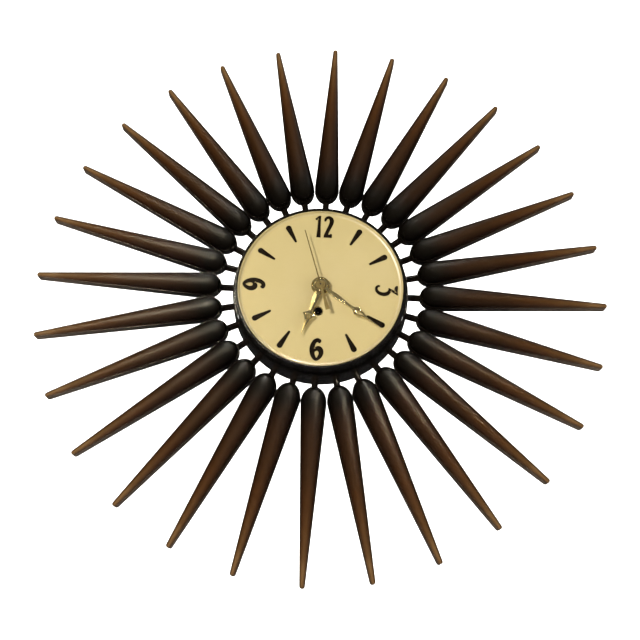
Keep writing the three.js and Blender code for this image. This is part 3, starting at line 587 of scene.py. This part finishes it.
def make_rays():
    """One mesh, used by all 28 rays, each turned to its own place."""
    points, faces = ray_skin()
    stem_points, stem_faces = stem_skin(len(points))
    points, faces = points + stem_points, faces + stem_faces
    first = mesh_object("moulded_ray_01", points, faces, RAY, sharp_degrees=24)
    for i in range(RAY_COUNT):
        ray = first
        if i:
            ray = bpy.data.objects.new(f"moulded_ray_{i + 1:02d}", first.data)
            bpy.context.scene.collection.objects.link(ray)
            ray.rotation_euler.y = i * RAY_STEP
        place(ray, "case", "ray_finish", f"ray_{i + 1:02d}")


# ---------- case ----------
def make_case():
    """The drum with its rounded front rim, its shelf for the dial, and the band that holds the stems."""
    drum = lathe("moulded_drum", rounded_profile([
        (87.9, -40.0, 0), (88.0, -44.6, 0.3), (88.4, -45.78, 0.2), (89.6, -46.0, 0.5),
        (90.1, -45.97, 0.4), (90.55, -45.2, 0.4), (90.8, -40.6, 0), (90.95, -40.3, 0.1),
        (91.2, -40.2, 0.1), (91.55, -31.2, 0), (91.6, -29.8, 0), (91.6, -2.45, 0.4),
        (89, -2.45, 0.2), (89, -33.4, 0.5), (57, -33.4, 0), (57, -35.2, 0),
        (87.5, -35.2, 0.5), (87.5, -38.4, 0), (84.6, -38.4, 0), (84.6, -40.0, 0),
    ]), BLACK, RING_SEGMENTS)
    place(drum, "case", "case_black", "case_drum")

    band = lathe("moulded_ray_band", rounded_profile([
        (91.9, -28.7, 0.1), (93.4, -28.7, 0.5), (94.15, -27.9, 0.4), (95.75, -0.1, 0.4), (92, -0.1, 0.3),
    ]), BLACK, RING_SEGMENTS)
    place(band, "case", "case_black", "ray_band")


# ---------- dial ----------
# The numerals, drawn as points of a smooth curve. A third value makes a sharp corner. The one, two and
# three are drawn where they stand, and the six about its own middle, since it also serves as the nine.
NUMERAL_ONE = [
    (-9.6, 79.7), (-8.3, 80.9), (-6.6, 82.6), (-5.4, 83.1, 1), (-4.5, 83.1, 1), (-4.45, 78.0),
    (-4.3, 70.0), (-3.9, 62.5), (-3.7, 58.0, 1), (-7.6, 58.0, 1), (-7.2, 62.5), (-6.9, 70.0),
    (-6.8, 79.2, 1), (-8.6, 78.4), (-9.4, 78.9),
]
NUMERAL_TWO = [
    (0.5, 77.2), (-0.05, 79.0), (1.2, 81.7), (4.6, 83.2), (8.3, 81.4), (9.8, 77.9), (9.0, 73.5),
    (6.8, 68.2), (4.5, 62.3), (5.6, 61.0), (7.4, 62.1), (8.45, 61.7, 1), (8.5, 58.1, 1),
    (0.3, 58.1, 1), (0.5, 60.6), (2.5, 66.0), (4.9, 72.4), (5.9, 76.6), (5.3, 79.5), (3.7, 80.6),
    (2.2, 79.4), (1.6, 77.8),
]
# The three lies on its back: its foot points to the centre and its flat top to the rim.
NUMERAL_THREE = [
    (62.3, 5.7), (60.2, 5.7), (58.2, 3.2), (58.6, -0.9), (62.0, -4.3), (67.1, -5.6), (72.0, -4.2),
    (74.4, -0.6), (75.3, -0.5), (81.9, -4.2, 1), (81.4, -1.0), (81.5, 5.3), (80.2, 5.8), (79.0, 4.4),
    (78.6, 1.6), (79.4, -1.0), (78.2, 0.2), (72.2, 3.2, 1), (72.1, 1.0), (70.4, -1.2), (67.0, -2.2),
    (62.6, -1.3), (60.2, 1.4), (60.8, 4.0), (62.4, 4.5),
]
NUMERAL_SIX = [
    (3.0, 7.5), (4.1, 9.2), (3.3, 11.0), (0.3, 12.0), (-3.3, 10.3), (-6.1, 5.5), (-7.0, 0.0),
    (-6.2, -5.2), (-3.7, -9.7), (-0.1, -11.9), (3.8, -9.7), (6.5, -5.3), (6.7, -1.0), (4.9, 2.3),
    (1.8, 3.6), (-0.9, 2.6), (-2.2, 1.0), (-2.2, 4.4), (-0.9, 7.5), (0.9, 8.4), (1.9, 7.3),
]
SIX_COUNTER = [
    (-2.1, -2.6), (-1.0, -1.4), (0.9, -1.0), (2.4, -2.5), (2.6, -5.0), (1.4, -8.0), (0.0, -9.2),
    (-1.4, -7.0), (-2.2, -4.6),
]
SIX_AT, NINE_AT = (0, -69), (-70.6, -0.6)


def turned_loop(loop, degrees, at):
    """A loop turned clockwise and moved."""
    angle = math.radians(degrees)
    turned = []
    for x, z in loop:
        turned.append((
            at[0] + x * math.cos(angle) + z * math.sin(angle),
            at[1] - x * math.sin(angle) + z * math.cos(angle),
        ))
    return turned


def grown(loop, by):
    """A loop moved outwards by a small distance, or inwards when it is negative."""
    before, after = loop[-1:] + loop[:-1], loop[1:] + loop[:1]
    area = sum(x * z1 - x1 * z for (x, z), (x1, z1) in zip(loop, after))
    side = math.copysign(by, by * area)
    moved = []
    for (x0, z0), (x, z), (x1, z1) in zip(before, loop, after):
        length = math.hypot(x1 - x0, z1 - z0)
        moved.append((x + side * (z1 - z0) / length, z - side * (x1 - x0) / length))
    return moved


def mark_loop(degrees):
    """A tapered mark with round ends, on the line at the given angle."""
    inner, outer = MARK_INNER + MARK_INNER_R, MARK_OUTER - MARK_OUTER_R
    tilt = math.degrees(math.asin((MARK_OUTER_R - MARK_INNER_R) / (outer - inner)))
    ends = ((outer, MARK_OUTER_R, 90 + tilt, 180 + 2 * tilt, 16),
            (inner, MARK_INNER_R, -90 - tilt, 180 - 2 * tilt, 12))
    loop = []
    for along, end_radius, first, sweep, steps in ends:
        for i in range(steps + 1):
            x, z = polar(end_radius, first - sweep * i / steps)
            loop.append((x, along + z))
    return turned_loop(loop, degrees, (0, 0))


def dial_figures():
    """Every stamped figure, as a name and its loops."""
    numerals = (NUMERAL_ONE, NUMERAL_TWO, NUMERAL_THREE, NUMERAL_SIX)
    one, two, three, six_outside = (grown(smooth_loop(points), BOLDER) for points in numerals)
    six = [six_outside, grown(smooth_loop(SIX_COUNTER), -BOLDER)]
    figures = [
        ("numeral_twelve", [one, two]),
        ("numeral_three", [three]),
        ("numeral_six", [turned_loop(loop, 0, SIX_AT) for loop in six]),
        ("numeral_nine", [turned_loop(loop, 90, NINE_AT) for loop in six]),
    ]
    for hour in (1, 2, 4, 5, 7, 8, 10, 11):
        figures.append((f"mark_{hour:02d}", [mark_loop(30 * hour)]))
    return figures


def make_dial():
    """A pressed pan with a rolled lip. The dies stamp the figures into it, and enamel fills them."""
    back = DIAL_FACE_Y + DIAL_THICK
    dial = lathe("stamped_dial", rounded_profile([
        (5.5, DIAL_FACE_Y, 0.2), (83.8, DIAL_FACE_Y, 2.0), (86.0, -42.7, 0.5), (86.45, -44.9, 0.3),
        (86.75, -45.35, 0.2), (87.15, -45.3, 0.15), (87.5, -44.7, 0.2), (87.3, -43.0, 0.4),
        (85.0, -41.2, 0.8), (83.2, back, 0.5), (5.5, back, 0),
    ]), DIAL_GOLD, DIAL_SEGMENTS, sharp_degrees=20)
    figures = dial_figures()
    die_y, die_depth = DIAL_FACE_Y - DIE_OVERCUT, STAMP_DEPTH + DIE_OVERCUT
    cutters = [
        flat_solid(name + "_die", loops, die_y, die_depth, die_depth, DIAL_GOLD)
        for name, loops in figures
    ]
    key_hole = [circle_loop(KEY_HOLE_R, KEY_HOLE_AT)]
    cutters.append(flat_solid("key_die", key_hole, DIAL_FACE_Y, 2 * DIAL_THICK, 0, DIAL_GOLD))
    cut_away(dial, cutters, DIAL_GOLD, sharp_degrees=20)
    place(dial, "case", "dial_gold", "dial")

    eyelet = lathe("key_hole_eyelet", rounded_profile([
        (KEY_HOLE_R, EYELET_BACK_Y, 0), (KEY_HOLE_R, -41.75, 0.05), (5.0, -41.8, 0.1),
        (EYELET_R, -41.45, 0), (EYELET_R, EYELET_BACK_Y, 0),
    ]), HAND_GOLD, SMALL_SEGMENTS, KEY_HOLE_AT)
    place(eyelet, "case", "dial_gold")

    for name, loops in figures:
        enamel = flat_solid(name, loops, ENAMEL_Y, ENAMEL_HALF_THICK, ENAMEL_CHAMFER, ENAMEL)
        place(enamel, "case", "case_black")


# ---------- hands ----------
def blade(name, side, tip, eye, back_y, edge_y, flute_y):
    """A stamped hand pointing to +Z, fluted along its middle, with an open diamond near its end.

    side holds (half width, radius) from the hub outwards. eye is (start, widest, end, half width) of
    the diamond. back_y, edge_y and flute_y are the heights of the back, the edges and the flute.
    """
    start, widest, end, eye_half = eye
    radii = sorted({r for _, r in side} | {start, widest, end, tip})

    def outer_half(r):
        outline = side + [(0, tip)]
        for (w0, r0), (w1, r1) in zip(outline, outline[1:]):
            if r0 <= r <= r1:
                return w0 + (w1 - w0) * (r - r0) / (r1 - r0)
        return 0

    def inner_half(r):
        if start < r <= widest:
            return eye_half * (r - start) / (widest - start)
        if widest < r < end:
            return eye_half * (end - r) / (end - widest)
        return 0

    fine = []
    for r0, r1 in zip(radii, radii[1:]):
        steps = max(1, round((r1 - r0) / HAND_STATION))
        fine += [r0 + (r1 - r0) * i / steps for i in range(steps)]
    fine.append(tip)

    # Beside the diamond each arm is crowned, so its middle and inner edge rise to the blade's edge.
    rows = []
    for r in fine:
        outer, inner = outer_half(r), inner_half(r)
        middle = (outer + inner) / 2
        flute = edge_y + (flute_y - edge_y) * min(1, outer / FLUTE_FULL_HALF)
        opened = min(1, inner / ARMS_FULL_HALF)
        arm_y = (edge_y + flute) / 2 + (edge_y - flute) * ARM_MIDDLE_RISE * opened
        inner_y = flute + (edge_y - flute) * ARM_INNER_RISE * opened
        rows.append([
            (-outer, edge_y, r), (-middle, arm_y, r), (-inner, inner_y, r), (inner, inner_y, r),
            (middle, arm_y, r), (outer, edge_y, r), (outer, back_y, r), (inner, back_y, r),
            (-inner, back_y, r), (-outer, back_y, r),
        ])
    # Points 2, 3, 7 and 8 of a row lie on the middle line, or on the diamond's sides where it is open.
    points = [point for row in rows for point in row]
    width = len(rows[0])
    around = [(k, (k + 1) % width) for k in range(width) if k not in (2, 7)]
    diamond_walls = [(2, 8), (7, 3)]
    faces = []
    for i in range(len(rows) - 1):
        open_here = inner_half(fine[i]) > 0 or inner_half(fine[i + 1]) > 0
        for k, other in around + (diamond_walls if open_here else []):
            a, b = i * width + k, i * width + other
            faces.append((a, b, b + width, a + width))
    faces.append(tuple(range(width)))
    return mesh_object(name, points, faces, HAND_GOLD, sharp_degrees=12)


def turn_clockwise(obj, degrees):
    """Turns the mesh of a hand to the time shown, and leaves the object where it is."""
    obj.data.transform(Matrix.Rotation(math.radians(degrees), 4, "Y"))
    return obj


def make_hour_hand():
    hub = lathe("hour_hub", rounded_profile([
        (4.8, HOUR_BACK_Y, 0), (4.8, -45.5, 0), (8.8, -45.5, 0.4), (9.5, -46.4, 0.2),
        (9.8, -46.3, 0.1), (9.8, HOUR_BACK_Y, 0),
    ]), HAND_GOLD, HUB_SEGMENTS)
    side = [
        (2.9, 8), (3.5, 13.5), (3.45, 16), (2.3, 24), (1.7, 29), (2.3, 31.5), (6.8, 34.5), (4.6, 36.8),
        (3.0, 40), (1.55, 45), (0.75, 51),
    ]
    arrow = blade(
        "hour_blade", side, tip=57.5, eye=(33.3, 36.5, 40.6, 2.2),
        back_y=HOUR_BACK_Y, edge_y=-46.7, flute_y=-45.25,
    )
    hand = joined("fluted_hour_hand", [arrow, hub])
    place(turn_clockwise(hand, HOUR_ANGLE), "hour", "hand_gold", "hour_hand")


def make_minute_hand():
    hub = lathe("minute_hub", rounded_profile([
        (3.4, MINUTE_BACK_Y, 0), (3.4, -48.0, 0), (5.2, -48.0, 0.2), (6.6, -48.8, 0.2),
        (6.9, -48.6, 0.15), (6.9, MINUTE_BACK_Y, 0),
    ]), HAND_GOLD, HUB_SEGMENTS)
    side = [
        (1.5, 5), (2.0, 12), (2.45, 20), (2.3, 26), (1.35, 36), (1.3, 40), (2.0, 43.5), (5.0, 47.5),
        (3.4, 51), (2.1, 55), (0.95, 59.5), (0.5, 68),
    ]
    arrow = blade(
        "minute_blade", side, tip=75, eye=(45.8, 49.5, 57, 1.7),
        back_y=MINUTE_BACK_Y, edge_y=-48.4, flute_y=-47.5,
    )
    hand = joined("fluted_minute_hand", [arrow, hub])
    place(turn_clockwise(hand, MINUTE_ANGLE), "minute", "hand_gold", "minute_hand")


def make_hand_nut():
    nut = lathe("knurled_hand_nut", rounded_profile([
        (2.4, NUT_BACK_Y, 0), (2.4, -50.1, 0.2), (3.6, -50.2, 0.2), (4.9, -49.7, 0.3),
        (5.15, NUT_BACK_Y, 0),
    ]), SECOND_BRASS, NUT_NOTCHES * 4, sharp_degrees=25)
    for vertex in nut.data.vertices:
        x, z = vertex.co.x, vertex.co.z
        if math.hypot(x, z) > KNURL_INNER * MM:
            notch = 1 - KNURL_DEPTH * (1 + math.cos(NUT_NOTCHES * math.atan2(x, z)))
            vertex.co.x, vertex.co.z = x * notch, z * notch
    place(nut, "minute", "hand_gold", "hand_nut")


def make_second_hand():
    """A thin needle with a broader, paler tail behind the hub. The needle's darker colour is painted shade
    for its dark reflections.
    """
    hub = lathe("second_hub", rounded_profile([
        (0.95, SECOND_BACK_Y, 0), (0.95, -51.5, 0.1), (1.9, -51.5, 0.2), (2.5, -51.1, 0.2),
        (2.5, SECOND_BACK_Y, 0),
    ]), SECOND_BRASS, SMALL_SEGMENTS)
    tail_loop = [(-2.1, -29), (2.1, -29), (1.0, -8), (0.7, -1), (-0.7, -1), (-1.0, -8)]
    needle_loop = [
        (0.6, -1.2), (0.5, 4), (0.45, 30), (0.36, 64), (-0.36, 64), (-0.45, 30), (-0.5, 4), (-0.6, -1.2),
    ]
    tail = flat_solid("second_tail", [tail_loop], -51.0, 0.18, 0.15, SECOND_BRASS)
    needle = flat_solid("second_needle", [needle_loop], -50.99, 0.16, 0.13, NEEDLE_SHADED_BRASS)
    hand = joined("sweep_second_hand", [tail, needle, hub])
    place(turn_clockwise(hand, SECOND_ANGLE), "seconds", "hand_gold", "second_hand")


# ---------- back and fittings ----------
SCREW_ANGLES = (60, -60, 180)
SCREW_CIRCLE = 85.4
SLOT_HALF_LENGTH, SLOT_HALF_WIDTH, SLOT_DEPTH = 5, 0.5, 0.62
SLOT_TURN = 37                    # each screw was driven home at its own angle


def make_screws():
    for number, degrees in enumerate(SCREW_ANGLES, 1):
        centre = polar(SCREW_CIRCLE, degrees)
        head = lathe(f"slotted_screw_{number}", rounded_profile([
            (0.001, -9, 0), (1.45, -8.6, 0), (1.45, -0.95, 0), (3.7, -0.95, 0.1), (3.5, -0.25, 0.3),
            (0.001, -0.15, 0),
        ]), ZINC, SCREW_SEGMENTS, centre)
        slot_loop = turned_loop(
            [(x * SLOT_HALF_LENGTH, z * SLOT_HALF_WIDTH) for x, z in ((-1, -1), (1, -1), (1, 1), (-1, 1))],
            SLOT_TURN * number, centre,
        )
        slot = flat_solid("slot", [slot_loop], 0, SLOT_DEPTH, 0, ZINC)
        cut_away(head, [slot], ZINC)
        place(head, "case", "fitting_steel", f"back_screw_{number}")


def bevel_node(name, width):
    """Breaks the sharp edges of a CAD node with a modifier."""
    node = NODES[name]
    modifier = node.modifiers.new("edge", "BEVEL")
    modifier.width = width * MM
    modifier.segments = 2
    modifier.limit_method = "ANGLE"
    modifier.angle_limit = math.radians(40)
    node.data.shade_smooth()
    node.data.set_sharp_from_angle(angle=math.radians(30))


def dress_cad_nodes():
    """CAD nodes whose shape is already right keep it, with their own finish."""
    finishes = {
        BOARD: ["back_cover"],
        ZINC: ["hanger_plate"],
        BRASS: [
            "front_plate", "back_plate", "mainspring_barrel", "intermediate_wheel", "centre_wheel",
            "third_wheel", "fourth_wheel", "pallet_lever", "balance_wheel", "minute_wheel", "hour_wheel",
        ],
        # painted shade: the arbor's near black stands in for shade inside the key hole
        HOLE_SHADE_BLACK: ["winding_arbor"],
        STEEL: [
            "mainspring", "ratchet_wheel", "click", "click_spring", "seconds_arbor", "escape_wheel",
            "hairspring", "cannon_pinion",
        ],
    }
    for material, names in finishes.items():
        for name in names:
            NODES[name].data.materials.clear()
            NODES[name].data.materials.append(material)
    bevel_node("back_cover", 0.35)
    bevel_node("hanger_plate", 0.2)


# ---------- studio ----------
WHITE, WARM, WARM_WHITE, COOL = (1, 1, 1), (1.0, 0.88, 0.66), (1.0, 0.96, 0.88), (0.92, 0.96, 1.0)
ORIGIN = (0, 0, 0)
WORLD_COLOUR = (1.0, 0.97, 0.93, 1)
WORLD_LIT, WORLD_SEEN = 0.03, 0.85    # the world's strength as a light, and as the camera sees it


def softbox(name, azimuth, elevation, distance, size, radiance, colour, aim=ORIGIN, spread=180):
    """A rectangular light aimed at a point, with its distance, size and aim in metres.

    Azimuth runs from the front towards +X. It, the elevation and the spread are in degrees.
    """
    across, up = math.radians(azimuth), math.radians(elevation)
    direction = Vector((math.sin(across) * math.cos(up), -math.cos(across) * math.cos(up), math.sin(up)))
    light = bpy.data.lights.new(name, "AREA")
    light.shape = "RECTANGLE"
    light.size, light.size_y = size
    light.energy = radiance * math.pi * size[0] * size[1]
    light.spread = math.radians(spread)
    light.color = colour
    obj = bpy.data.objects.new(name, light)
    obj.location = Vector(aim) + direction * distance
    obj.rotation_euler = (-direction).to_track_quat("-Z", "Y").to_euler()
    obj.visible_camera = False
    bpy.context.scene.collection.objects.link(obj)
    return obj


def light_only(light, *names):
    """Makes the light fall on the named pieces alone, and only as a reflection."""
    light.visible_diffuse = False
    linked = bpy.data.collections.new(light.name + "_receivers")
    for name in names:
        linked.objects.link(bpy.data.objects[name])
    light.light_linking.receiver_collection = linked


def clear_from_behind(material):
    """Lets the camera look through the backdrop when it stands behind or below it."""
    tree = material.node_tree
    behind = tree.nodes.new("ShaderNodeNewGeometry").outputs["Backfacing"]
    clear = tree.nodes.new("ShaderNodeBsdfTransparent").outputs["BSDF"]
    chosen = tree.nodes.new("ShaderNodeMixShader")
    painted = tree.nodes["Principled BSDF"].outputs["BSDF"]
    for socket, value in zip(chosen.inputs, (behind, painted, clear)):
        tree.links.new(value, socket)
    tree.links.new(chosen.outputs["Shader"], tree.nodes["Material Output"].inputs["Surface"])


def make_backdrop():
    """A pale wall and floor, and the light on them. Neither is seen in the clock's reflections."""
    paint = Finish("pale_backdrop", Roughness=0.9)
    paint.set(Base_Color=(0.92, 0.92, 0.91, 1))
    points = [
        (-4000, 900, -900), (4000, 900, -900), (4000, 900, 3500), (-4000, 900, 3500),
        (-4000, -4000, -900), (4000, -4000, -900),
    ]
    backdrop = mesh_object("backdrop", points, [(0, 1, 2, 3), (4, 5, 1, 0)], paint.material)
    backdrop.data.flip_normals()
    clear_from_behind(paint.material)
    backdrop.visible_glossy = False

    wall_light = softbox("backdrop_light", 0, 0, 0, (2.6, 2.6), 3.4, WHITE)
    wall_light.location = (0, 0.2, 0.25)
    wall_light.rotation_euler = (math.radians(90), 0, 0)
    wall_light.visible_glossy = False


def make_lights():
    """The key gives the hands' shadows. The rest fill it in and give the reflections in the photo."""
    key = softbox("key_light", -29, 5, 2.3, (0.16, 0.16), 440, WARM_WHITE)
    key.visible_glossy = False
    lip_glint = softbox("dial_lip_glint", -29, 5, 2.3, (0.16, 0.16), 330, WARM_WHITE)
    hand_glint = softbox("hand_glint", 43, 8, 2.2, (0.5, 0.5), 3.0, WARM)
    light_only(lip_glint, "stamped_dial")
    light_only(hand_glint, "fluted_hour_hand", "fluted_minute_hand")

    softbox("wide_warm_light", 15, 22, 2.3, (3.6, 2.7), 0.06, WARM)
    softbox("right_fill_light", 43, 9, 2.2, (0.6, 0.7), 0.5, WARM)
    right_bounce = softbox("right_bounce_light", 64, 0, 2.2, (1.2, 1.2), 2.8, WARM_WHITE)
    right_bounce.visible_glossy = False

    # Narrow beams that give the sheen on the rays of one part of the clock, and light nothing else.
    grids = [
        softbox("low_grid_light", 25, 23, 2.2, (0.16, 0.16), 0.75, WARM, (0.05, 0, -0.12), 7),
        softbox("left_grid_light", 0, 24, 2.2, (0.16, 0.16), 2.2, WARM, (-0.22, 0, -0.05), 7),
        softbox("upper_left_grid_light", -2, 42, 2.2, (0.2, 0.2), 0.10, WARM, (-0.17, 0, 0.13), 7),
        softbox("ceiling_grid_light", 5, 56, 2.2, (0.3, 0.2), 0.50, WARM_WHITE, (-0.04, 0, -0.19), 7),
        softbox("centre_grid_light", 0, 21, 2.2, (0.1, 0.1), 0.012, WARM_WHITE, (-0.06, 0, -0.10), 4),
    ]
    for grid in grids:
        grid.visible_diffuse = False
    softbox("side_cool_light", 82, 52, 2.2, (0.8, 0.8), 1.4, COOL)
    softbox("top_light", 10, 82, 1.9, (1.4, 0.9), 0.8, WARM_WHITE)


def make_world():
    """A world that is pale to the camera but lights the clock only dimly, so its blacks stay black."""
    world = bpy.data.worlds.new("studio")
    world.use_nodes = True
    nodes, links = world.node_tree.nodes, world.node_tree.links
    seen = nodes.new("ShaderNodeLightPath").outputs["Is Camera Ray"]
    strength = nodes.new("ShaderNodeMapRange")
    strength.inputs["To Min"].default_value = WORLD_LIT
    strength.inputs["To Max"].default_value = WORLD_SEEN
    links.new(seen, strength.inputs["Value"])
    links.new(strength.outputs["Result"], nodes["Background"].inputs["Strength"])
    nodes["Background"].inputs["Color"].default_value = WORLD_COLOUR
    bpy.context.scene.world = world
    bpy.context.scene.view_settings.view_transform = "Standard"


def make_camera():
    data = bpy.data.cameras.new("photo_view")
    data.lens = CAMERA_LENS
    data.sensor_width = CAMERA_SENSOR
    camera = bpy.data.objects.new("photo_view", data)
    bpy.context.scene.collection.objects.link(camera)
    at, aim = Vector(CAMERA_AT) * MM, Vector(CAMERA_AIM) * MM
    turn = (aim - at).to_track_quat("-Z", "Y").to_matrix().to_4x4()
    roll = Matrix.Rotation(math.radians(CAMERA_ROLL), 4, "Z")
    camera.matrix_world = Matrix.Translation(at) @ turn @ roll
    bpy.context.scene.camera = camera


# The lights come last, because two of them name the pieces they fall on.
make_camera()
make_rays()
make_case()
make_dial()
make_hour_hand()
make_minute_hand()
make_hand_nut()
make_second_hand()
make_screws()
dress_cad_nodes()
make_backdrop()
make_lights()
make_world()
